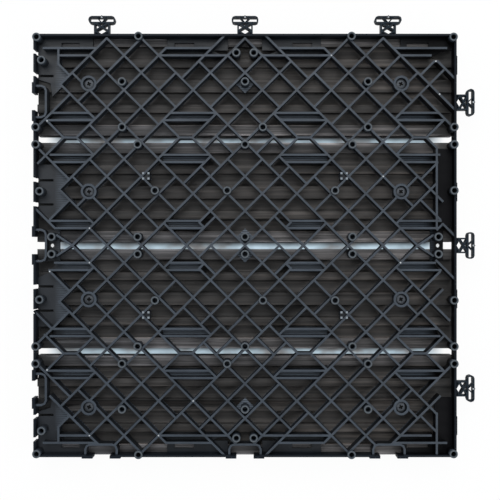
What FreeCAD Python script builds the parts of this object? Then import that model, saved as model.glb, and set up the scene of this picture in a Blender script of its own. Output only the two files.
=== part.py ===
import FreeCAD, Part
import math
import os
from FreeCAD import Vector

# Interlocking deck tile for a 300 mm grid, in millimetres.
# It lies face down: the slats' walking face is at z = 0 and the ribbed base is on top.

# laying grid
module = 300.0              # spacing of laid tiles, both ways
joint_gap = 6.0             # between the base mouldings of two laid tiles
links_per_side = 3          # connectors, and sockets, along one side

# slats
slat_count = 4
slat_gap = 5.0              # drainage gap
slat_thickness = 12.0
slat_setback = 0.5          # slat ends behind the rim of the base
slat_edge = 1.2             # off the long edges of the walking face
groove_depth = 3.0
groove_width = 8.4
inner_groove = 8.8          # groove centres, from the slat's centre line
outer_groove = 23.2

# base moulding
rib_width = 1.4
rib_height = 10.0
rim_wall = 1.5
plate_thickness = 2.0
strap_inner = 20.4          # the two ribs of a strap, from the slat's centre line
strap_outer = 25.5
margin_shift = 0.9          # the straps along the rim lie this much nearer to the slat's centre line

# foot posts, six-sided hollow pegs
post_height = 12.6
post_width = 5.15           # across the flats
post_bore = 2.9             # square, across the flats
rim_post_inset = 2.0
corner_post_inset = 2.6

# screw pads and screws
pad_width = 10.2            # across the flats, as the next three
pad_bore = 7.8
shank_width = 3.2
hole_clearance = 0.4        # more than the shank, in the pad
pilot_clearance = 0.1       # more than the shank, in the slat
shank_length = 14.5
head_diameter = 7.2         # across the flats
head_height = 1.6
pad_floor = 6.5             # what a screw holds, above the slat

# four-peg blocks
block_width = 5.2
block_height = 7.5
peg_width = 1.5
peg_height = 3.5

# connectors
stem_width = 10.8
stem_length = 8.0
head_width = 18.6
head_depth = 5.2
head_corner = 2.2
bar_width = 1.1
connector_height = 6.0
connector_lift = 1.0        # above the slats
knob_width = 0.8

# sockets
socket_width = 20.4
socket_depth = 8.0
socket_wall = 1.4
socket_corner = 2.6
socket_mouth = 12.0
lip_length = 7.4
lip_thickness = 2.0
lip_proud = 1.0

# tongues on the left edge, and the tabs in the middle gap
slot_width = 1.6
slot_length = 12.3
notch_width = 3.0           # of the rim, at the tongues' sides
tab_hole = 2.6

# worked out from the sizes above
body = module - joint_gap
half = body / 2
pitch = module / 25             # half diagonal of the rib lattice
slat_pitch = module / slat_count
slat_width = slat_pitch - slat_gap
slat_rows = [(k - (slat_count - 1) / 2) * slat_pitch for k in range(slat_count)]
link_pitch = module / links_per_side
link_rows = [(k - (links_per_side - 1) / 2) * link_pitch for k in range(links_per_side)]
floor = slat_thickness          # the base stands on the slats here
plate_top = floor + plate_thickness
rib_top = floor + rib_height
pad_top = floor + pad_floor
margin_level = (slat_rows[-1] + strap_outer - margin_shift) / pitch     # outermost ribs of the straps
post_top = floor + post_height
corner_steps = 2                # straight steps round a corner of a head or a socket
mirrors = [(1, 1), (-1, 1), (1, -1), (-1, -1)]

# The origin is under the middle of the whole outline, connectors included.
plus_reach = half + stem_length + head_depth + knob_width / math.sqrt(2)
minus_reach = max(half + lip_proud, half - rim_post_inset + post_width / math.sqrt(3))
off_centre = (minus_reach - plus_reach) / 2


# flat outlines and plain solids

def polygon(points):
    """A face with straight sides that looks upward, whichever way round its corners are given."""
    turn = sum(a[0] * b[1] - a[1] * b[0] for a, b in zip(points, points[1:] + points[:1]))
    corners = [Vector(x, y) for x, y in (points if turn > 0 else points[::-1])]
    return Part.Face(Part.makePolygon(corners + corners[:1]))


def rectangle(x0, y0, x1, y1):
    return polygon([(x0, y0), (x1, y0), (x1, y1), (x0, y1)])


def strip(x0, y0, x1, y1, width, extra=0.0):
    """A straight bar about the line, longer by extra at both ends."""
    run = Vector(x1 - x0, y1 - y0)
    run.normalize()
    side = Vector(-run.y, run.x) * (width / 2)
    a = Vector(x0, y0) - run * extra
    b = Vector(x1, y1) + run * extra
    return polygon([(p.x, p.y) for p in (a - side, b - side, b + side, a + side)])


def ring_of(sides, x, y, flats):
    """A regular outline: four sides face along the lattice's ribs, six or eight face the tile's edges."""
    reach = flats / 2 / math.cos(math.pi / sides)
    turns = [(2 * k + (sides == 8)) * math.pi / sides for k in range(sides)]
    return polygon([(x + reach * math.cos(t), y + reach * math.sin(t)) for t in turns])


def hexagon(x, y, flats):
    return ring_of(6, x, y, flats)


def octagon(x, y, flats):
    return ring_of(8, x, y, flats)


def diamond(x, y, flats):
    return ring_of(4, x, y, flats)


def rounded(x0, y0, x1, y1, radius):
    """A rectangle whose corners are turned in straight steps."""
    middles = [(x1 - radius, y1 - radius), (x0 + radius, y1 - radius), (x0 + radius, y0 + radius),
               (x1 - radius, y0 + radius)]
    points = []
    for quarter, (x, y) in enumerate(middles):
        for step in range(corner_steps + 1):
            turn = math.pi / 2 * (quarter + step / corner_steps)
            points.append((x + radius * math.cos(turn), y + radius * math.sin(turn)))
    return polygon(points)


def quarter_turn(shape):
    """The same shape turned from the top edge to the right one, or from the bottom edge to the left one."""
    turned = shape.copy()
    turned.rotate(Vector(), Vector(0, 0, 1), -90)
    return turned


def union(outlines):
    """Flat outlines joined into as few faces as possible."""
    joined = outlines[0].multiFuse(outlines[1:])
    return Part.makeShell(joined.Faces).removeSplitter()


def prisms(shape, low, high):
    """A solid from each face of a flat shape, between two heights."""
    solids = []
    for face in shape.Faces:
        base = face.copy()
        base.translate(Vector(0, 0, low))
        solids.append(base.extrude(Vector(0, 0, high - low)))
    return solids


# rib lattice, in units of the pitch
# A rising rib runs away from both centre lines of the tile, a falling one runs back to the long one.

lattice_reach = 12              # nodes from the centre to the rim
full_columns = (0, 1, 5, 6, 7, 8)
rising_ribs = {2: (2, 8), 3: (3, 9), 4: (2, 4, 8, 10), 9: (3, 9)}
falling_ribs = {2: (4, 10), 3: (3, 9), 4: (2, 4, 8, 10), 9: (1, 5, 11)}
left_out = {(1, 5), (1, 11)}


def has_rib(u, v, rise):
    """Whether the lattice has a rib from node (u, v) to node (u + 1, v + rise)."""
    inner, outer = sorted([(abs(u), abs(v)), (abs(u + 1), abs(v + rise))])
    if max(inner[1], outer[1]) > lattice_reach:
        return False
    rising = outer[1] > inner[1]
    if inner[0] in full_columns:
        return not (rising and inner in left_out)
    return inner[1] in (rising_ribs if rising else falling_ribs).get(inner[0], ())


def lattice_runs():
    """Straight runs of neighbouring ribs, as (u0, v0, u1, v1)."""
    runs = []
    for rise in (1, -1):
        for shift in range(-2 * lattice_reach, 2 * lattice_reach + 1, 2):
            start = None
            for u in range(-lattice_reach, lattice_reach + 1):
                v = rise * (u - shift)
                if u < lattice_reach and has_rib(u, v, rise):
                    start = start or (u, v)
                elif start:
                    runs.append(start + (u, v))
                    start = None
    return runs


# ribs off the lattice, in one quarter of the tile and mirrored to the others
# round the inner hexagons
inner_ribs = [
    (3.05, 6.25, 3.80, 6.25), (3.80, 6.25, 4.76, 7.21), (3.05, 6.25, 1.66, 7.64), (3.80, 6.25, 5.00, 5.05),
    (3.05, 6.25, 1.42, 4.62), (2.00, 6.00, 2.40, 5.60), (1.67, 6.33, 0.67, 5.33), (1.97, 5.17, 3.57, 3.57),
    (2.00, 4.00, 2.57, 4.57), (3.67, 9.67, 1.10, 12.24), (2.00, 10.00, 2.67, 10.67), (5.00, 11.00, 4.57, 11.43),
    (4.70, 1.30, 3.40, 0.00), (3.40, 0.00, 1.70, 1.70), (2.00, 2.00, 2.66, 1.34), (2.66, 1.34, 2.36, 1.04),
]
# round the outer hexagons
outer_ribs = [
    (9.75, 6.25, 10.50, 6.25), (9.00, 7.00, 9.75, 6.25), (9.75, 6.25, 8.75, 5.25), (10.50, 6.25, 11.56, 7.31),
    (10.50, 6.25, 11.10, 5.65), (10.68, 9.33, 8.68, 7.33), (10.00, 10.00, 10.68, 9.33), (9.00, 9.00, 9.68, 8.33),
    (10.12, 8.77, 12.00, 6.89), (10.15, 9.85, 10.80, 10.50), (10.00, 4.00, 10.75, 3.25),
    (10.75, 3.25, 8.75, 1.25), (9.00, 3.00, 9.75, 2.25), (10.15, 2.65, 11.30, 1.50), (10.18, 3.83, 11.15, 4.80),
    (10.00, 0.00, 10.90, 0.60),
]
# on the left or the right only
side_ribs = [
    (-11.10, 5.65, -12.00, 4.75), (-11.15, 4.80, -11.90, 5.55), (-10.80, 10.50, -10.80, 11.40),
    (-12.20, 2.20, -11.00, 1.00), (-11.10, -5.65, -11.60, -5.15), (-11.15, -4.80, -12.20, -5.85),
    (-12.20, -3.80, -11.15, -4.85), (-10.68, -9.33, -11.30, -8.71), (-10.80, -10.50, -10.80, -11.40),
    (11.10, 5.65, 11.10, 1.00), (11.10, -9.70, 11.10, -12.20), (10.68, 9.33, 11.50, 10.15),
    (10.68, 9.33, 12.20, 7.81), (10.80, 10.50, 10.96, 10.66), (10.96, 10.66, 11.15, 10.66),
    (11.15, 10.66, 12.20, 9.61),
    (10.75, 3.25, 11.45, 2.55), (10.75, 3.25, 11.10, 3.60), (11.45, 1.25, 12.20, 0.50),
    (11.45, 1.25, 11.10, 0.90), (10.75, -3.25, 11.85, -4.35), (10.75, -3.25, 11.45, -2.55),
    (11.05, -0.85, 12.20, -2.00), (10.68, -9.33, 11.10, -9.75), (10.68, -9.33, 11.30, -8.71),
    (10.80, -10.50, 11.10, -10.80), (11.10, -5.65, 11.55, -5.20), (11.15, -4.80, 12.20, -5.85),
    (2.00, 0.00, 2.70, -0.70), (-2.00, 0.00, -2.70, -0.70),
]
# straps: the slat, its side, then where about the inner and the outer rib of the strap end
strap_play = 0.12
straps = [
    (1, 1, (1.00, 5.00), (1.92, 4.57)), (1, -1, (1.67, 4.33), (2.04, 4.75)),
    (0, 1, (2.32, 4.83), (2.05, 4.80)), (0, -1, (2.58, 4.58), (2.40, 4.40)),
    (1, 1, (9.00, 10.80), (8.57, 11.70)), (1, -1, (9.03, 11.22), (8.75, 11.50)),
    (0, 1, (9.17, 11.15), (8.75, 11.30)), (0, -1, (8.93, 11.30), (9.00, 11.05)),
]


def lattice_ribs():
    ribs = list(lattice_runs()) + side_ribs
    for u0, v0, u1, v1 in inner_ribs + outer_ribs:
        ribs += [(a * u0, b * v0, a * u1, b * v1) for a, b in mirrors]
    mitre = rib_width / 2 * math.tan(math.pi / 8)
    return [strip(*(n * pitch for n in rib), rib_width, mitre) for rib in ribs]


def on_rib(u, y, ribs):
    """Where the level line at y meets the sloping rib next to u, or u itself where none is near."""
    v = y / pitch
    near = [u0 + (v - v0) * (u1 - u0) / (v1 - v0) for u0, v0, u1, v1 in ribs
            if v0 != v1 and min(v0, v1) - strap_play <= v <= max(v0, v1) + strap_play]
    best = min(near, key=lambda place: abs(place - u))
    return best if abs(best - u) < strap_play else u


def strap_parts():
    """The two ribs of every strap, which end on the lattice, and the flat plate between them."""
    lattice = lattice_runs() + inner_ribs + outer_ribs
    ribs, plates = [], []
    for slat, side, inner, outer in straps:
        middle = slat_rows[slat_count // 2 + slat] - (margin_shift if slat and side > 0 else 0)
        rows = [(inner, middle + side * strap_inner), (outer, middle + side * strap_outer)]
        rows = [([on_rib(u, y, lattice) for u in ends], y) for ends, y in rows]
        for a, b in mirrors:
            for ends, y in rows:
                ribs.append(strip(a * ends[0] * pitch, b * y, a * ends[1] * pitch, b * y, rib_width))
            corners = [(ends[n], y) for (ends, y), n in ((rows[0], 0), (rows[0], 1), (rows[1], 1), (rows[1], 0))]
            plates.append(polygon([(a * u * pitch, b * y) for u, y in corners]))
    return ribs, plates


# foot posts: a row's height and its posts' places, in units of the pitch, repeated half a turn round
post_rows = [
    (11.12, (-0.5, 0.5)), (9.46, (-7.1, 0.0, 7.1)), (6.83, (-7.1, 1.03, 7.1)), (5.83, (-6.2, 0.0, 6.2)),
    (3.17, (-5.2, -1.03, 5.2)), (0.5, (-11.17, -6.2, 0.0, 6.2, 11.17)),
]
top_posts = (6.15,)
side_posts = (3.17, 5.83, 6.83)
tongue_posts = [(3.13, 4.65), (10.7, 6.0)]      # the row, and millimetres from the left edge
lone_posts = [(9.46, 10), (0.5, 0)]     # posts on a foot of their own, and the lattice node beside them
tab_column = 11.3
screw_column = 9.05
block_place = (5.73, 4.02)


def inner_posts():
    return [(turn * u * pitch, turn * v * pitch) for v, row in post_rows for u in row for turn in (1, -1)]


def edge_posts():
    edge = half - rim_post_inset
    corner = half - corner_post_inset
    centres = [(corner * a, corner * b) for a, b in mirrors]
    centres += [(a * u * pitch, edge * b) for u in top_posts for a, b in mirrors]
    centres += [(edge, b * v * pitch) for v in side_posts for b in (1, -1)]
    centres += [(-edge, b * v * pitch) for v in side_posts[1:] for b in (1, -1)]
    centres += [(inset - half, b * v * pitch) for v, inset in tongue_posts for b in (1, -1)]
    return centres


def screw_centres():
    return [(a * screw_column * pitch, y) for y in slat_rows for a in (1, -1)]


# flat plates on the slat side of the base, in units of the pitch

tongue_plates = [
    [(-12.2, 11.5), (-10.8, 11.5), (-10.8, 10.5), (-10.15, 9.85), (-10.68, 9.33), (-11.3, 8.71), (-11.4, 9.5),
     (-12.2, 9.75)],
    [(-12.2, 4.75), (-11.15, 4.75), (-10.18, 3.83), (-10.75, 3.25), (-10.15, 2.65), (-11.3, 1.5), (-12.2, 1.9)],
]
right_plates = [(11.1, 1.1, 12.2, 5.65), (11.1, -12.2, 12.2, -8.9)]
tab_plate = (10.85, -0.9, 11.6, 0.9)
margin_plates = [(-12.2, -8.9), (-4.56, -1.0), (1.0, 4.45), (9.1, 12.2)]
margin_windows = [(-10.75, -9.7), (-4.13, -2.98), (2.77, 3.92), (9.48, 10.75)]
window_edge = 11.87
slot_rows = (9.93, 3.82, 2.4)
notch_rows = slot_rows + (11.23,)


def scaled(points):
    return polygon([(u * pitch, v * pitch) for u, v in points])


def box_plate(u0, v0, u1, v1):
    return rectangle(u0 * pitch, v0 * pitch, u1 * pitch, v1 * pitch)


def side_plates():
    plates = [scaled([(u, b * v) for u, v in points]) for points in tongue_plates for b in (1, -1)]
    plates += [box_plate(*corners) for corners in right_plates]
    u0, v0, u1, v1 = tab_plate
    plates += [box_plate(a * u0, v0, a * u1, v1) for a in (1, -1)]
    for b in (1, -1):
        plates += [box_plate(left, b * margin_level, right, b * 12.2) for left, right in margin_plates]
    return plates


def edge_cuts(rows, width, depth):
    """Cuts into the left edge, at rows in units of the pitch on both sides of the middle."""
    places = [b * v * pitch for v in rows for b in (1, -1)]
    return [rectangle(-half - 1, y - width / 2, depth - half, y + width / 2) for y in places]


def plate_holes():
    """Windows in the margins, slots of the tongues and the holes of the tabs."""
    holes = edge_cuts(slot_rows, slot_width, slot_length) + edge_cuts(notch_rows, notch_width, rim_wall)
    for b in (1, -1):
        holes += [box_plate(left, b * margin_level, right, b * window_edge) for left, right in margin_windows]
    return holes + [octagon(a * tab_column * pitch, 0, tab_hole) for a in (1, -1)]


# sockets on the bottom and left edges, connectors on the top and right ones

def socket_outline(centre, wall):
    """The outline of the pocket, or with a wall the outside of the U round it, on past the body."""
    side = socket_width / 2 + wall
    depth = socket_depth + wall
    return rounded(centre - side, -half - depth, centre + side, depth - half, socket_corner + wall)


def socket_lips(centre):
    low = -half - lip_proud
    lips = []
    for side in (1, -1):
        near = centre + side * socket_mouth / 2
        lips.append(rectangle(near, low, near + side * lip_length, low + lip_thickness))
    return Part.Compound(lips)


def both_edges(outline, *sizes):
    """An outline at every socket: along the bottom edge and along the left one."""
    bottom = [outline(centre, *sizes) for centre in link_rows]
    return bottom + [quarter_turn(face) for face in bottom]


def connector(centre):
    """An openwork T connector on the top edge: side bars, crosses between them and a head with a knob."""
    neck = half + stem_length
    tip = neck + head_depth
    side = (stem_width - bar_width) / 2
    wing = head_width / 2
    start = neck + bar_width / 2
    cross = (start - half) / 1.5        # one whole cross of the stem, and a half one at the rim
    inner = wing - bar_width
    window = rectangle(centre - inner, neck + bar_width, centre + inner, tip - bar_width)
    shapes = [rounded(centre - wing, neck, centre + wing, tip, head_corner).cut(window)]
    for a in (side, -side):
        shapes.append(strip(centre + a, half - rim_wall / 2, centre + a, start, bar_width))
        shapes.append(strip(centre + a, start, centre - a, start - cross, bar_width))
        shapes.append(strip(centre + a, start - cross, centre, half, bar_width))
    shapes.append(diamond(centre, tip, knob_width))
    return union(shapes)


# the pieces

def base_grid():
    body_face = rectangle(-half, -half, half, half)
    inside = rectangle(rim_wall - half, rim_wall - half, half - rim_wall, half - rim_wall)
    pockets = both_edges(socket_outline, 0.0)
    u_walls = both_edges(socket_outline, socket_wall)
    lips = [lip for edge in both_edges(socket_lips) for lip in edge.Faces]
    rim = body_face.cut([inside] + edge_cuts(notch_rows, notch_width, rim_wall)).Faces

    centres = inner_posts() + edge_posts()
    posts = [hexagon(x, y, post_width) for x, y in centres]
    bores = [diamond(x, y, post_bore) for x, y in centres]
    pads = [octagon(x, y, pad_width) for x, y in screw_centres()]
    pad_bores = [octagon(x, y, pad_bore) for x, y in screw_centres()]
    strap_ribs, strap_plates = strap_parts()

    # outlines: the walls, and the thin plates between them
    walls = rim[0].multiFuse(rim[1:] + u_walls + lattice_ribs() + strap_ribs)
    walls = walls.common(body_face).cut(pockets)
    walls = union(walls.Faces + lips + posts + pads).cut(bores + pad_bores)
    feet = [diamond(0, b * v * pitch, abs(v - node) * pitch * math.sqrt(2))
            for v, node in lone_posts for b in (1, -1)]
    plates = union(side_plates() + strap_plates + feet + bores).common(body_face)
    plates = plates.cut(pockets + pad_bores + plate_holes())

    solids = prisms(walls, floor, rib_top)
    solids += prisms(plates, floor, plate_top)
    for post, bore in zip(posts, bores):
        solids += prisms(post.cut(bore), rib_top, post_top)
    for (x, y), bore in zip(screw_centres(), pad_bores):
        solids += prisms(bore.cut(diamond(x, y, shank_width + hole_clearance)), floor, pad_top)
    for a, b in mirrors:
        solids += peg_block(a * block_place[0] * pitch, b * block_place[1] * pitch)
    low = floor + connector_lift
    for centre in link_rows:
        for face in (connector(centre), quarter_turn(connector(centre))):
            solids += prisms(face, low, low + connector_height)
    return solids[0].multiFuse(solids[1:]).removeSplitter()


def peg_block(x, y):
    side = block_width / 2
    parts = prisms(rectangle(x - side, y - side, x + side, y + side), floor, floor + block_height)
    reach = side - peg_width / 2
    for a, b in mirrors:
        left, low = x + a * reach - peg_width / 2, y + b * reach - peg_width / 2
        peg = rectangle(left, low, left + peg_width, low + peg_width)
        parts += prisms(peg, floor + block_height, floor + block_height + peg_height)
    return parts


def slat(y):
    """A slat with eased walking edges, four grooves underneath and two pilot holes."""
    start = slat_setback - half
    side = slat_width / 2
    blank = Part.makeBox(body - 2 * slat_setback, slat_width, slat_thickness, Vector(start, y - side, 0))
    long_edges = [e for e in blank.Edges
                  if e.BoundBox.XLength > slat_width and e.BoundBox.ZMax < slat_edge]
    blank = blank.makeChamfer(slat_edge, long_edges)
    cuts = []
    for offset in (inner_groove, outer_groove):
        for sign in (1, -1):
            low = y + sign * offset - groove_width / 2
            corner = Vector(-half, low, slat_thickness - groove_depth)
            cuts.append(Part.makeBox(body, groove_width, groove_depth, corner))
    for x in (screw_column * pitch, -screw_column * pitch):
        pilot = diamond(x, y, shank_width + pilot_clearance)
        cuts += prisms(pilot, pad_top - shank_length, slat_thickness + 1)
    return blank.cut(cuts)


def screw(x, y):
    """A pan-head screw, its head on the floor of the pad."""
    head = prisms(octagon(x, y, head_diameter), pad_top, pad_top + head_height)[0]
    shank = prisms(diamond(x, y, shank_width), pad_top - shank_length, pad_top)[0]
    return head.fuse(shank).removeSplitter()


def save(name, shape):
    shape.translate(Vector(off_centre, off_centre, 0))
    shape.exportStep(f"parts/{name}.step")
    print(f"{name}: {len(shape.Solids)} solid(s), {shape.Volume / 1000:.1f} cm3, valid {shape.isValid()}")


os.makedirs("parts", exist_ok=True)
save("base_grid", base_grid())
for number, y in enumerate(reversed(slat_rows), start=1):
    save(f"slat_{number}", slat(y))
save("screws", Part.Compound([screw(x, y) for x, y in screw_centres()]))
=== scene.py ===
import math
import bmesh
import bpy
from mathutils import Matrix, Vector


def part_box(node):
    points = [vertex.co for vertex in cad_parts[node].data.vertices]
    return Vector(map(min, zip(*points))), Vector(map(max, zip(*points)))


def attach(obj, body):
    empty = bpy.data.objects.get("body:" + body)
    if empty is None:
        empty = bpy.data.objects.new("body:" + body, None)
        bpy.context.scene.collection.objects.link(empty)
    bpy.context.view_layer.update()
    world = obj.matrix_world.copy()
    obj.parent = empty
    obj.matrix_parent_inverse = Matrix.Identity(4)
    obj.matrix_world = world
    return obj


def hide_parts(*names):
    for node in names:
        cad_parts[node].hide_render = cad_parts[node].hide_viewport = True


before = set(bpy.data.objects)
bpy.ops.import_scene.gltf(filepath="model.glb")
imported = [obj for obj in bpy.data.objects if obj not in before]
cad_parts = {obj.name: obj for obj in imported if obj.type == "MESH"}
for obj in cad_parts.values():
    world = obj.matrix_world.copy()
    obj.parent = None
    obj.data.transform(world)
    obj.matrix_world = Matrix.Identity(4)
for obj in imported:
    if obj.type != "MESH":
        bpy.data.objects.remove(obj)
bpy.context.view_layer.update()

mm = 0.001
pitch = 12.0        # mm, half diagonal of the rib lattice
half = 147.0        # mm, from the tile's middle to the edge of the moulding
quarters = [(1, 1), (-1, 1), (1, -1), (-1, -1)]

# the tile's own middle and the spacing of its slats
upperSlat, nextSlat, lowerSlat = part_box("slat_1"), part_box("slat_2"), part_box("slat_4")
tileMiddle = Vector(((upperSlat[0].x + upperSlat[1].x) / 2, (lowerSlat[0].y + upperSlat[1].y) / 2, 0))
slatPitch = (upperSlat[0].y - nextSlat[0].y) / mm

# a noise is read over one of these spans of its values, for soft or for harder patches
softSpan = (0.3, 0.7)
hardSpan = (0.35, 0.65)


def onTile(x, y, z=0.0):
    # millimetres from the tile's middle, to the row frame
    return tileMiddle + Vector((x, y, z)) * mm


def nodeTree(name):
    material = bpy.data.materials.new(name)
    material.use_nodes = True
    return material, material.node_tree, material.node_tree.nodes["Principled BSDF"]


def addNode(tree, kind, **settings):
    # each setting is one of the node's own, or the value of the input with that name
    node = tree.nodes.new(kind)
    for key, value in settings.items():
        if key in node.inputs:
            node.inputs[key].default_value = value
        else:
            setattr(node, key, value)
    return node


def feed(tree, socket, value):
    # a number, a colour or another node's output
    if isinstance(value, (int, float)):
        socket.default_value = value
    elif isinstance(value, tuple):
        socket.default_value = (*value, 1)
    else:
        tree.links.new(value, socket)


def objectPattern(tree, stretch=(1, 1, 1), shift=(0, 0, 0)):
    place = addNode(tree, "ShaderNodeTexCoord")
    mapping = addNode(tree, "ShaderNodeMapping", Scale=stretch, Location=shift)
    tree.links.new(place.outputs["Object"], mapping.inputs["Vector"])
    return mapping.outputs["Vector"]


def tilePlace(tree):
    # millimetres along and across the slats from the tile's middle, and the height
    place = addNode(tree, "ShaderNodeSeparateXYZ")
    tree.links.new(objectPattern(tree, (1 / mm, 1 / mm, 1 / mm), -tileMiddle / mm), place.inputs[0])
    return place.outputs["X"], place.outputs["Y"], place.outputs["Z"]


def noise(tree, vector, scale, detail=4.0, roughness=0.55):
    node = addNode(tree, "ShaderNodeTexNoise", Scale=scale, Detail=detail, Roughness=roughness)
    tree.links.new(vector, node.inputs["Vector"])
    return node.outputs["Fac"]


def remap(tree, value, span, to=(0, 1)):
    # goes from the first to the second of to while the value crosses the span
    node = addNode(tree, "ShaderNodeMapRange")
    inputs = ("Value", "From Min", "From Max", "To Min", "To Max")
    for key, number in zip(inputs, (value, *span, *to)):
        feed(tree, node.inputs[key], number)
    return node.outputs["Result"]


def ramp(tree, value, stops):
    node = addNode(tree, "ShaderNodeValToRGB")
    first, last = node.color_ramp.elements[0], node.color_ramp.elements[1]
    first.position, first.color = stops[0][0], (*stops[0][1], 1)
    last.position, last.color = stops[-1][0], (*stops[-1][1], 1)
    for position, colour in stops[1:-1]:
        node.color_ramp.elements.new(position).color = (*colour, 1)
    tree.links.new(value, node.inputs["Fac"])
    return node.outputs["Color"]


def mixColour(tree, factor, a, b, blend="MIX"):
    node = addNode(tree, "ShaderNodeMix", data_type="RGBA", blend_type=blend)
    for number, value in ((0, factor), (6, a), (7, b)):
        feed(tree, node.inputs[number], value)
    return node.outputs[2]


def mixValue(tree, factor, a, b):
    node = addNode(tree, "ShaderNodeMix", data_type="FLOAT")
    for number, value in ((0, factor), (2, a), (3, b)):
        feed(tree, node.inputs[number], value)
    return node.outputs[0]


def maths(tree, operation, *values):
    node = addNode(tree, "ShaderNodeMath", operation=operation)
    for socket, value in zip(node.inputs, values):
        feed(tree, socket, value)
    return node.outputs[0]


def bumpNormal(tree, height, strength, depth, edge=0.0):
    # depth and edge in mm, edge rounds the piece's edges in shading
    bump = addNode(tree, "ShaderNodeBump", Strength=strength, Distance=depth * mm)
    tree.links.new(height, bump.inputs["Height"])
    if edge:
        rounded = addNode(tree, "ShaderNodeBevel", samples=4, Radius=edge * mm)
        tree.links.new(rounded.outputs["Normal"], bump.inputs["Normal"])
    return bump.outputs["Normal"]


def edgeHighlightMask(tree, radius):
    # 1 along an edge, 0 on flat stretches
    rounded = addNode(tree, "ShaderNodeBevel", samples=6, Radius=radius * mm)
    surface = addNode(tree, "ShaderNodeNewGeometry")
    dot = addNode(tree, "ShaderNodeVectorMath", operation="DOT_PRODUCT")
    tree.links.new(rounded.outputs["Normal"], dot.inputs[0])
    tree.links.new(surface.outputs["Normal"], dot.inputs[1])
    return remap(tree, dot.outputs["Value"], (0.99, 0.9))


plasticLook = {
    "deep": (0.004, 0.006, 0.009),        # between the ribs
    "body": (0.013, 0.017, 0.023),
    "paintedLight": (0.017, 0.020, 0.025),       # painted light on the plates and tongues at the socket side
    "shaded": (0.003, 0.003, 0.004),      # painted shade on the plates at the connector side
    "straps": (0.070, 0.086, 0.108),      # painted light on the narrow plates between the paired ribs, against their shade
    "ribTopSheen": (0.039, 0.050, 0.066),     # painted sheen on the upper faces
    "ribEdgeHighlight": (0.115, 0.138, 0.165),    # and painted highlights on their edges
    "rim": (0.008, 0.011, 0.016),
    "links": (0.012, 0.018, 0.025),       # the connectors
    "tips": (0.078, 0.090, 0.102),        # post tips, paler
    "pegs": (0.20, 0.225, 0.25),          # the pins of the four small blocks
    # mm from the tile's middle, where each of them starts and is full
    "socketSide": (-60, -140),
    "connectorSide": (70, 130),
    "strapEnds": (134, 125),
    "strapRows": 130,
    "rimBand": (half - 2.6, half - 1.8),
    "linkBand": (half + 0.8, half + 1.2),
    # heights in mm
    "plateTop": (14.1, 14.3),
    "ribTop": (20.5, 22.0),
    "lines": (1.25, 0.133, 0.5, 1.9),     # mm between the straps' fine lines, their offset, how dark and pale
    "edgeHighlightWidth": 0.3,                          # mm, width of the painted edge highlights
    "patchSpan": (0.25, 0.65),            # of the blotches' noise
    "paintedLightPatches": (0.54, 0.9),           # how strong the painted light and the painted sheen on the tops are there
    "sheenPatches": (0.55, 1.0),
    "blotches": 55,                       # noises per metre
    "flow": (30, 210, 60),
    "fine": 900,
    "roughness": (0.36, 0.55),
    "specular": (0.3, 0.08),              # in general, and on the shaded plates and the rim
    "bump": (0.25, 0.12, 0.35),           # strength, depth and edge radius in mm
}


def mouldedPlastic(name, tip, tipLevel):
    # tip is the colour of what rises past the two heights of tipLevel
    material, tree, shader = nodeTree(name)
    look = plasticLook
    x, y, z = tilePlace(tree)
    outX, outY = maths(tree, "ABSOLUTE", x), maths(tree, "ABSOLUTE", y)
    reach = maths(tree, "MAXIMUM", outX, outY)
    blotches = noise(tree, objectPattern(tree), look["blotches"], 5)

    # the hollows, with painted light at the socket side and painted shade at the connector side
    colour = mixColour(tree, remap(tree, blotches, softSpan), look["deep"], look["body"])
    paintedLightMask = maths(tree, "MULTIPLY", remap(tree, x, look["socketSide"]),
                 remap(tree, blotches, look["patchSpan"], look["paintedLightPatches"]))
    colour = mixColour(tree, paintedLightMask, colour, look["paintedLight"])
    farSide = remap(tree, x, look["connectorSide"])
    colour = mixColour(tree, farSide, colour, look["shaded"])

    # the straps, with painted light, and their fine lines
    apart, offset, dark, pale = look["lines"]
    turn = maths(tree, "MULTIPLY", maths(tree, "SUBTRACT", y, offset), 2 * math.pi / apart)
    wave = remap(tree, maths(tree, "SINE", turn), (-0.6, 0.9), (dark, pale))
    onPlate = remap(tree, z, look["plateTop"], (1, 0))
    onStrap = maths(tree, "MULTIPLY", remap(tree, outX, look["strapEnds"]),
                    maths(tree, "LESS_THAN", outY, look["strapRows"]))
    colour = mixColour(tree, maths(tree, "MULTIPLY", onStrap, onPlate), colour,
                       mixColour(tree, 1, look["straps"], wave, "MULTIPLY"))

    # painted sheen on the rib tops and painted highlights on their edges, then the rim, the connectors and the tips
    topSheen = maths(tree, "MULTIPLY", remap(tree, z, look["ribTop"]),
                   remap(tree, blotches, look["patchSpan"], look["sheenPatches"]))
    upper = mixColour(tree, edgeHighlightMask(tree, look["edgeHighlightWidth"]), look["ribTopSheen"], look["ribEdgeHighlight"])
    onRim = remap(tree, reach, look["rimBand"])
    colour = mixColour(tree, topSheen, colour, mixColour(tree, onRim, upper, look["rim"]))
    colour = mixColour(tree, remap(tree, reach, look["linkBand"]), colour, look["links"])
    colour = mixColour(tree, remap(tree, z, tipLevel), colour, look[tip])
    tree.links.new(colour, shader.inputs["Base Color"])

    flow = noise(tree, objectPattern(tree, look["flow"]), 1.0, 3)
    tree.links.new(remap(tree, flow, softSpan, look["roughness"]), shader.inputs["Roughness"])
    dull = maths(tree, "MAXIMUM", maths(tree, "MULTIPLY", farSide, onPlate), onRim)
    tree.links.new(mixValue(tree, dull, *look["specular"]), shader.inputs["Specular IOR Level"])
    fine = noise(tree, objectPattern(tree), look["fine"], 3)
    fine = maths(tree, "ADD", fine, maths(tree, "MULTIPLY", blotches, 0.6))
    tree.links.new(bumpNormal(tree, fine, *look["bump"]), shader.inputs["Normal"])
    return material


plastic = mouldedPlastic("mouldedPlastic", "pegs", (22.5, 22.9))
postPlastic = mouldedPlastic("postPlastic", "tips", (23.6, 24.4))


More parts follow.
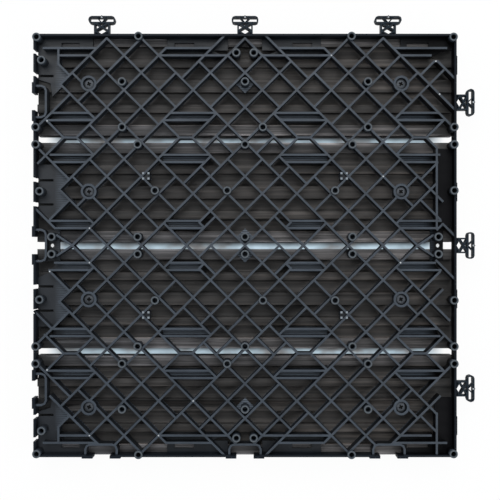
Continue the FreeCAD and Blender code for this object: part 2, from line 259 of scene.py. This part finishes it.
def addPiece(name, mesh, material, slot, *replaced):
    mesh.materials.clear()
    mesh.materials.append(material)
    piece = bpy.data.objects.new(name, mesh)
    bpy.context.scene.collection.objects.link(piece)
    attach(piece, "root")
    if replaced:
        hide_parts(*replaced)
    return piece


def meshFrom(bm, name):
    mesh = bpy.data.meshes.new(name)
    bm.to_mesh(mesh)
    bm.free()
    return mesh


def nodeCopy(node):
    # a merged copy of a CAD node's mesh, with its flat faces whole again
    bm = bmesh.new()
    bm.from_mesh(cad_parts[node].data)
    bmesh.ops.remove_doubles(bm, verts=bm.verts, dist=0.002 * mm)
    bmesh.ops.dissolve_limit(bm, angle_limit=math.radians(1), verts=bm.verts, edges=bm.edges)
    return bm


def spun(profile, steps):
    # (radius, height) in mm, turned round the Z axis; a profile that starts off the axis is closed to a ring
    bm = bmesh.new()
    verts = [bm.verts.new((r * mm, 0, z * mm)) for r, z in profile]
    line = verts + verts[:1] if profile[0][0] else verts
    edges = [bm.edges.new(pair) for pair in zip(line, line[1:])]
    bmesh.ops.spin(bm, geom=verts + edges, axis=(0, 0, 1), cent=(0, 0, 0), angle=2 * math.pi, steps=steps,
                   use_merge=True, use_duplicate=False)
    bmesh.ops.remove_doubles(bm, verts=bm.verts, dist=0.001 * mm)
    bmesh.ops.recalc_face_normals(bm, faces=bm.faces)
    return bm


def easedBox(size, radius, topOnly=False):
    # a box about the origin, in mm, with all its edges eased or the upper four
    bm = bmesh.new()
    bmesh.ops.create_cube(bm, size=1)
    bmesh.ops.scale(bm, vec=Vector(size) * mm, verts=bm.verts)
    eased = [e for e in bm.edges if not topOnly or min(v.co.z for v in e.verts) > 0]
    bmesh.ops.bevel(bm, geom=eased, offset=radius * mm, segments=2, profile=0.5, affect="EDGES", material=-1)
    return bm


def repeated(bm, places):
    # the same shape at each place, as one mesh
    pattern = meshFrom(bm, "pattern")
    whole = bmesh.new()
    for place in places:
        before = len(whole.verts)
        whole.from_mesh(pattern)
        whole.verts.ensure_lookup_table()
        bmesh.ops.transform(whole, matrix=place, verts=whole.verts[before:])
    bpy.data.meshes.remove(pattern)
    return whole


def smooth(piece, angle=40):
    for face in piece.data.polygons:
        face.use_smooth = True
    piece.data.set_sharp_from_angle(angle=math.radians(angle))


woodLook = {
    "stops": [(0.22, (0.008, 0.0075, 0.0075)), (0.45, (0.023, 0.0213, 0.0207)),
              (0.62, (0.047, 0.043, 0.041)), (0.85, (0.122, 0.114, 0.110))],
    "streak": (7, 420, 420),        # noises per metre, along the slats, across them and down
    "fibre": (26, 1900, 1900),
    "cloud": (9, 30, 30),
    "shares": (0.55, 0.25, 0.2),    # of these three
    "shift": (3.7, 11.3, 5.1),      # from one slat's grain to the next one's
    "lightDrift": ((0.70, 0.70, 0.71), (1.24, 1.15, 1.07)),      # painted light, from the socket side to the connector side
    "land": (9.2, 11.8),            # heights in mm of the grooves' floors and of the planed lands
    "groove": 0.75,                 # how dark the painted shade makes those floors against the lands
    "edgeLand": (27.6, 28.0),       # mm from the slat's centre line, where the land along its edge starts
    "edgeLines": (16, 900, 900),    # this land has a painted sheen: paler, streaky and cooler
    "edgeSheen": (1.3, 3.8),
    "edgeSheenTint": (0.93, 1.0, 1.1),
    "arris": (27.7, 0.4, 4.5),      # the painted highlight where it meets its groove: its place, half width and paleness
    "gapSheen": (32.6, 34.4),           # mm from the centre line, to where the painted sheen on the outer arris is palest
    "gapSheenPale": 2.2,
    "ends": (133, 138),             # mm from the tile's middle, to where the slats' ends lie in the shade
    "endShade": 0.25,
    "underside": (8.6, 8.9),        # height in mm above which that is so
    "roughness": (0.5, 0.75),
    "bump": (0.5, 0.4),             # strength, and depth in mm
}


def slatWood(name, shift, middle):
    # middle is the slat's centre line, in mm from the tile's middle
    material, tree, shader = nodeTree(name)
    look = woodLook
    x, y, z = tilePlace(tree)
    aside = maths(tree, "ABSOLUTE", maths(tree, "SUBTRACT", y, middle))

    # the grain, with painted light: warmer and lighter towards the connector side
    streaks = noise(tree, objectPattern(tree, look["streak"], shift), 1.0, 6, 0.6)
    fibres = noise(tree, objectPattern(tree, look["fibre"], shift), 1.0, 4, 0.6)
    clouds = noise(tree, objectPattern(tree, look["cloud"], shift), 1.0, 3)
    streaks, fine, clouds = (maths(tree, "MULTIPLY", part, share)
                             for part, share in zip((streaks, fibres, clouds), look["shares"]))
    mixed = maths(tree, "ADD", maths(tree, "ADD", streaks, fine), clouds)
    grain = ramp(tree, remap(tree, mixed, softSpan), look["stops"])
    lightDrift = mixColour(tree, remap(tree, x, (-half, half)), *look["lightDrift"])
    onEdgeLand = remap(tree, aside, look["edgeLand"])
    tint = mixColour(tree, onEdgeLand, (1.0, 1.0, 1.0), look["edgeSheenTint"])
    for colour in (tint, lightDrift):
        grain = mixColour(tree, 1, grain, colour, "MULTIPLY")

    # painted shade in the grooves, painted sheen in pale streaks on the lands along the edges, and painted highlights
    # on the arrises
    lines = noise(tree, objectPattern(tree, look["edgeLines"], shift), 1.0, 5, 0.7)
    pale = mixValue(tree, onEdgeLand, 1, remap(tree, lines, (0.35, 0.68), look["edgeSheen"]))
    arris, width, arrisHighlight = look["arris"]
    onArris = maths(tree, "COMPARE", maths(tree, "SUBTRACT", middle, y), arris, width)
    pale = mixValue(tree, onArris, pale, arrisHighlight)
    pale = maths(tree, "MULTIPLY", pale, remap(tree, aside, look["gapSheen"], (1, look["gapSheenPale"])))
    # painted shade on the groove floors
    shade = maths(tree, "MULTIPLY", pale, remap(tree, z, look["land"], (look["groove"], 1)))
    ends = remap(tree, maths(tree, "ABSOLUTE", x), look["ends"], (1, look["endShade"]))
    ends = mixValue(tree, remap(tree, z, look["underside"]), 1, ends)
    shade = maths(tree, "MULTIPLY", shade, ends)

    tree.links.new(mixColour(tree, 1, grain, shade, "MULTIPLY"), shader.inputs["Base Color"])
    tree.links.new(remap(tree, fibres, softSpan, look["roughness"]), shader.inputs["Roughness"])
    tree.links.new(bumpNormal(tree, mixed, *look["bump"]), shader.inputs["Normal"])
    return material


slatTrim = {"radius": 0.35, "long": 200, "sharp": 60}      # in mm, and the mm and degrees of an edge that gets it


def dressSlat(number):
    bm = nodeCopy(f"slat_{number}")
    long, sharp = slatTrim["long"] * mm, math.radians(slatTrim["sharp"])
    edges = [e for e in bm.edges if e.calc_length() > long and len(e.link_faces) == 2 and e.calc_face_angle() > sharp]
    bmesh.ops.bevel(bm, geom=edges, offset=slatTrim["radius"] * mm, segments=2, profile=0.5, affect="EDGES",
                    material=-1)
    low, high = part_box(f"slat_{number}")
    shift = [number * step for step in woodLook["shift"]]
    wood = slatWood(f"slatWood{number}", shift, ((low.y + high.y) / 2 - tileMiddle.y) / mm)
    smooth(addPiece(f"slat_{number}_planed", meshFrom(bm, f"slat{number}"), wood, "slat_wood", f"slat_{number}"), 30)


for number in range(1, 5):
    dressSlat(number)
print("slats dressed")


# rows and columns in units of the pitch, insets in mm from the moulding's edge
postPlaces = {
    "rows": [(11.12, (-0.5, 0.5)), (9.46, (-7.1, 0.0, 7.1)), (6.83, (-7.1, 1.03, 7.1)),
             (5.83, (-6.2, 0.0, 6.2)), (3.17, (-5.2, -1.03, 5.2)), (0.5, (-11.17, -6.2, 0.0, 6.2, 11.17))],
    "rightEdge": (3.17, 5.83, 6.83),
    "leftEdge": (5.83, 6.83),
    "topAndBottom": 6.15,
    "tongues": [(3.13, 4.65), (10.7, 6.0)],     # row and inset
    "edgeInset": 2.0,
    "cornerInset": 2.6,
}
postShape = {
    "profile": [(1.64, 14.06), (2.995, 14.06), (2.98, 23.6), (2.86, 24.4), (2.66, 24.6), (2.0, 24.6), (1.64, 24.1)],
    "steps": 28,
    "solidTips": 23.5,      # what the solids have above this height goes down to the next one
    "cutLevel": 14.05,
}


def postCentres():
    places = postPlaces
    edge, corner = half - places["edgeInset"], half - places["cornerInset"]
    centres = [(a * u * pitch, a * v * pitch) for v, row in places["rows"] for u in row for a in (1, -1)]
    centres += [(a * corner, b * corner) for a, b in quarters]
    centres += [(a * places["topAndBottom"] * pitch, b * edge) for a, b in quarters]
    centres += [(edge, b * v * pitch) for v in places["rightEdge"] for b in (1, -1)]
    centres += [(-edge, b * v * pitch) for v in places["leftEdge"] for b in (1, -1)]
    centres += [(inset - half, b * v * pitch) for v, inset in places["tongues"] for b in (1, -1)]
    return centres


def dressBase():
    # the solids' six-sided tips go down inside the round posts
    bm = nodeCopy("base_grid")
    for vert in bm.verts:
        if vert.co.z > postShape["solidTips"] * mm:
            vert.co.z = postShape["cutLevel"] * mm
    addPiece("base_moulding", meshFrom(bm, "baseMoulding"), plastic, "moulded_plastic", "base_grid")


def addPosts():
    places = [Matrix.Translation(onTile(x, y)) for x, y in postCentres()]
    bm = repeated(spun(postShape["profile"], postShape["steps"]), places)
    smooth(addPiece("foot_posts", meshFrom(bm, "footPosts"), postPlastic, "moulded_plastic"))


linkCentres = (-100.0, 0.0, 100.0)      # mm along the top and the right edge
linkTip = 160.2                         # mm from the tile's middle
headWeb = {"start": 155.6, "end": 159.6, "reach": 3.6, "width": 0.6, "low": 13.15, "high": 18.85, "radius": 0.2}


def addHeadWebs():
    # the V inside every connector head
    shape = headWeb
    run = Vector((shape["reach"], shape["end"] - shape["start"]))
    size = (shape["width"], run.length, shape["high"] - shape["low"])
    places = []
    for turn in (0, -math.pi / 2):
        edge = Matrix.Translation(tileMiddle) @ Matrix.Rotation(turn, 4, "Z")
        for centre in linkCentres:
            for side in (1, -1):
                middle = Vector((centre + side * run.x / 2, (shape["start"] + shape["end"]) / 2,
                                 (shape["low"] + shape["high"]) / 2))
                lean = Matrix.Rotation(math.atan2(-side * run.x, run.y), 4, "Z")
                places.append(edge @ Matrix.Translation(middle * mm) @ lean)
    bm = repeated(easedBox(size, shape["radius"], topOnly=True), places)
    smooth(addPiece("head_webs", meshFrom(bm, "headWebs"), plastic, "moulded_plastic"))


# rows in units of the pitch, the rest in mm
wallBosses = {"rows": (-10.45, -3.1, 3.1, 10.45), "long": 13.0, "proud": 0.7, "sunk": 0.8, "low": 8.0, "high": 21.0,
              "radius": 0.2}


def addWallBosses():
    # low flats on the connector side's wall
    shape = wallBosses
    size = (shape["proud"] + shape["sunk"], shape["long"], shape["high"] - shape["low"])
    x, z = half + (shape["proud"] - shape["sunk"]) / 2, (shape["low"] + shape["high"]) / 2
    places = [Matrix.Translation(onTile(x, v * pitch, z)) for v in shape["rows"]]
    bm = repeated(easedBox(size, shape["radius"]), places)
    smooth(addPiece("wall_bosses", meshFrom(bm, "wallBosses"), plastic, "moulded_plastic"))


gateMarks = {
    "places": [(5, 11), (11.05, 10.66), (11.26, 8.75), (8, 4), (-9, 1), (-9, -1), (-11.3, -1.5), (-11.45, 7.2),
               (-11.45, -7.2), (-9, -11), (9, -1), (-3, -9), (-5, -11)],     # in units of the pitch
    "profile": [(0.0, 21.9), (0.62, 21.9), (0.5, 22.25), (0.28, 22.42), (0.0, 22.48)],
    "steps": 12,
    "linkInset": 0.9,       # mm from a connector's tip, and below the ribs' level
    "linkDrop": 3.0,
    "white": ((0.30, 0.32, 0.34), (0.62, 0.64, 0.66)),
    "speckle": 1500,
    "roughness": 0.45,
}


def gateWhite():
    # snapped-off moulding gates, in white
    material, tree, shader = nodeTree("gateWhite")
    speckle = noise(tree, objectPattern(tree), gateMarks["speckle"], 3)
    white = mixColour(tree, remap(tree, speckle, hardSpan), *gateMarks["white"])
    tree.links.new(white, shader.inputs["Base Color"])
    shader.inputs["Roughness"].default_value = gateMarks["roughness"]
    return material


def addGateMarks():
    knob, low = linkTip - gateMarks["linkInset"], -gateMarks["linkDrop"]
    places = [onTile(u * pitch, v * pitch) for u, v in gateMarks["places"]]
    places += [onTile(centre, knob, low) for centre in linkCentres]
    places += [onTile(knob, centre, low) for centre in linkCentres]
    bm = repeated(spun(gateMarks["profile"], gateMarks["steps"]), [Matrix.Translation(place) for place in places])
    smooth(addPiece("gate_marks", meshFrom(bm, "gateMarks"), gateWhite(), "moulded_plastic"), 50)


dressBase()
addPosts()
addHeadWebs()
addWallBosses()
addGateMarks()
print("base and posts dressed")


screwColumn = 9.05 * pitch
screwRows = (-112.5, -37.5, 37.5, 112.5)
screwPlaces = [(a * screwColumn, y) for y in screwRows for a in (1, -1)]
padShape = {
    "profile": [(3.86, 18.6), (5.54, 18.6), (5.54, 22.0), (5.3, 22.25), (4.08, 22.25), (3.86, 22.05)],
    "steps": 32,
}


def addPads():
    places = [Matrix.Translation(onTile(x, y)) for x, y in screwPlaces]
    bm = repeated(spun(padShape["profile"], padShape["steps"]), places)
    smooth(addPiece("pad_rims", meshFrom(bm, "padRims"), plastic, "moulded_plastic"))


screwShape = {
    "profile": [(0.0, 18.51), (3.6, 18.51), (3.62, 19.0), (3.4, 19.7), (2.6, 20.0), (0.0, 20.1)],
    "steps": 28,
    "recess": (3.0, 1.2, 1.5),      # length, width and depth in mm of the cross
    "turns": (0.4, 0.9),            # radians, the first screw's and from each to the next
    "zinc": ((0.040, 0.045, 0.052), (0.095, 0.103, 0.115)),
    "tarnish": 400,
    # painted shade, low on the head's side in its cup and in the cross recess
    "dark": (0.003, 0.003, 0.003),
    "darkBelow": (19.75, 19.4),     # heights in mm, where the painted shade gives way to the zinc
    "metallic": 0.8,
    "roughness": (0.45, 0.65),
}


def screwSteel():
    material, tree, shader = nodeTree("screwSteel")
    look = screwShape
    tarnish = noise(tree, objectPattern(tree), look["tarnish"], 4)
    zinc = mixColour(tree, remap(tree, tarnish, hardSpan), *look["zinc"])
    height = tilePlace(tree)[2]
    colour = mixColour(tree, remap(tree, height, look["darkBelow"]), zinc, look["dark"])
    tree.links.new(colour, shader.inputs["Base Color"])
    tree.links.new(remap(tree, tarnish, softSpan, look["roughness"]), shader.inputs["Roughness"])
    shader.inputs["Metallic"].default_value = look["metallic"]
    return material


def crossCutter():
    long, wide, deep = (n * mm for n in screwShape["recess"])
    top = screwShape["profile"][-1][1] * mm
    bm = bmesh.new()
    for turn in (0, math.pi / 2):
        bar = bmesh.ops.create_cube(bm, size=1)["verts"]
        bmesh.ops.scale(bm, vec=(long, wide, 2 * deep), verts=bar)
        bmesh.ops.rotate(bm, matrix=Matrix.Rotation(turn, 3, "Z"), verts=bar)
        bmesh.ops.translate(bm, vec=(0, 0, top), verts=bar)
    return bm


def addScrews():
    bm = spun(screwShape["profile"], screwShape["steps"])
    head = bpy.data.objects.new("screwHead", meshFrom(bm, "screwHead"))
    cutter = bpy.data.objects.new("crossCutter", meshFrom(crossCutter(), "crossCutter"))
    for thing in (head, cutter):
        bpy.context.scene.collection.objects.link(thing)
    cut = head.modifiers.new("recess", "BOOLEAN")
    cut.object, cut.operation, cut.solver, cut.use_self = cutter, "DIFFERENCE", "EXACT", True
    bpy.context.view_layer.update()
    cutHead = bpy.data.meshes.new_from_object(head.evaluated_get(bpy.context.evaluated_depsgraph_get()))
    for thing in (head, cutter):
        bpy.data.objects.remove(thing)
    bm = bmesh.new()
    bm.from_mesh(cutHead)
    first, step = screwShape["turns"]
    places = [Matrix.Translation(onTile(x, y)) @ Matrix.Rotation(first + step * n, 4, "Z")
              for n, (x, y) in enumerate(screwPlaces)]
    mesh = meshFrom(repeated(bm, places), "screwHeads")
    smooth(addPiece("screw_heads", mesh, screwSteel(), "screw_steel", "screws"), 35)


addPads()
addScrews()
print("pads and screws dressed")


floorLook = {
    "size": 4.0,                # m
    "below": 0.3,               # mm, under the walking faces
    "colour": (0.88, 0.88, 0.88),
    "roughness": 0.9,
    "whiteShare": 0.95,         # how much of the floor's white comes straight to the camera
    "shadeEdge": (129, 143),    # mm from the tile's middle, where the painted shadow under it gives way to the white
    # painted shadow: the floor's colour under the tile
    "shade": (0.3, 0.3, 0.3),
    "shadeShare": (0.2, 0.75),  # the same share in that shade, seen through the gaps, in patches
    # painted light: the tints of the white seen through the gaps, in patches
    "tints": ((0.84, 0.80, 0.78), (0.68, 0.87, 1.0)),
    "tintSpan": (0.3, 0.5),
    "patches": (34, 60, 1),
    "gapShade": (2.3, -1.2),    # mm from a gap's middle, from its dark side to its lit side
}


def paleFloor():
    material, tree, shader = nodeTree("paleFloor")
    look = floorLook
    shader.inputs["Roughness"].default_value = look["roughness"]
    x, y, z = tilePlace(tree)
    reach = maths(tree, "MAXIMUM", maths(tree, "ABSOLUTE", x), maths(tree, "ABSOLUTE", y))
    outside = remap(tree, reach, look["shadeEdge"])
    patches = noise(tree, objectPattern(tree, look["patches"]), 1.0, 3)
    across = maths(tree, "WRAP", y, slatPitch / 2, -slatPitch / 2)
    under = maths(tree, "MULTIPLY", remap(tree, patches, hardSpan, look["shadeShare"]),
                  remap(tree, across, look["gapShade"]))
    share = mixValue(tree, outside, under, look["whiteShare"])
    tint = mixColour(tree, remap(tree, patches, look["tintSpan"]), *look["tints"])
    seen = addNode(tree, "ShaderNodeLightPath")
    white = addNode(tree, "ShaderNodeEmission")
    mix = addNode(tree, "ShaderNodeMixShader")
    tree.links.new(mixColour(tree, outside, look["shade"], look["colour"]), shader.inputs["Base Color"])
    tree.links.new(mixColour(tree, outside, tint, (1.0, 1.0, 1.0)), white.inputs["Color"])
    tree.links.new(maths(tree, "MULTIPLY", seen.outputs["Is Camera Ray"], share), mix.inputs[0])
    tree.links.new(shader.outputs[0], mix.inputs[1])
    tree.links.new(white.outputs[0], mix.inputs[2])
    tree.links.new(mix.outputs[0], tree.nodes["Material Output"].inputs["Surface"])
    return material


def addFloor():
    bm = bmesh.new()
    bmesh.ops.create_grid(bm, x_segments=1, y_segments=1, size=floorLook["size"] / 2)
    bmesh.ops.translate(bm, vec=(0, 0, -floorLook["below"] * mm), verts=bm.verts)
    floor = bpy.data.objects.new("floor", meshFrom(bm, "floor"))
    floor.data.materials.append(paleFloor())
    bpy.context.scene.collection.objects.link(floor)


roomLight = {
    "ambient": (0.89, 0.95, 1.0),
    "strength": 0.55,
    # each lamp's place in m, power in W and size in m
    "keyLight": ((-0.15, 0.85, 1.5), 19.0, 1.3),
    "fillLight": ((0.9, -0.6, 1.4), 7.6, 1.2),
}


def lightRoom():
    # the world lights the tile softly and is white to the camera
    world = bpy.data.worlds.new("room")
    bpy.context.scene.world = world
    world.use_nodes = True
    tree = world.node_tree
    ambient = tree.nodes["Background"]
    feed(tree, ambient.inputs["Color"], roomLight["ambient"])
    feed(tree, ambient.inputs["Strength"], roomLight["strength"])
    white = addNode(tree, "ShaderNodeBackground", Strength=1.0, Color=(1, 1, 1, 1))
    seen = addNode(tree, "ShaderNodeLightPath")
    mix = addNode(tree, "ShaderNodeMixShader")
    tree.links.new(seen.outputs["Is Camera Ray"], mix.inputs[0])
    tree.links.new(ambient.outputs[0], mix.inputs[1])
    tree.links.new(white.outputs[0], mix.inputs[2])
    tree.links.new(mix.outputs[0], tree.nodes["World Output"].inputs["Surface"])
    for name in ("keyLight", "fillLight"):
        place, power, size = roomLight[name]
        lamp = bpy.data.lights.new(name, "AREA")
        lamp.energy, lamp.size = power, size
        holder = bpy.data.objects.new(name, lamp)
        holder.location = place
        holder.rotation_euler = (-Vector(place)).to_track_quat("-Z", "Y").to_euler()
        bpy.context.scene.collection.objects.link(holder)


cameraSetup = {"place": (3.48, -3.15, 642.0), "lens": 64.3, "sensor": 36.0}     # mm; it looks straight down


def addCamera():
    lens = bpy.data.cameras.new("camera")
    lens.lens, lens.sensor_width = cameraSetup["lens"], cameraSetup["sensor"]
    camera = bpy.data.objects.new("camera", lens)
    camera.location = onTile(*cameraSetup["place"])
    bpy.context.scene.collection.objects.link(camera)
    bpy.context.scene.camera = camera


addFloor()
lightRoom()
addCamera()
bpy.context.scene.view_settings.view_transform = "Standard"
print("stage set")

bpy.context.view_layer.update()
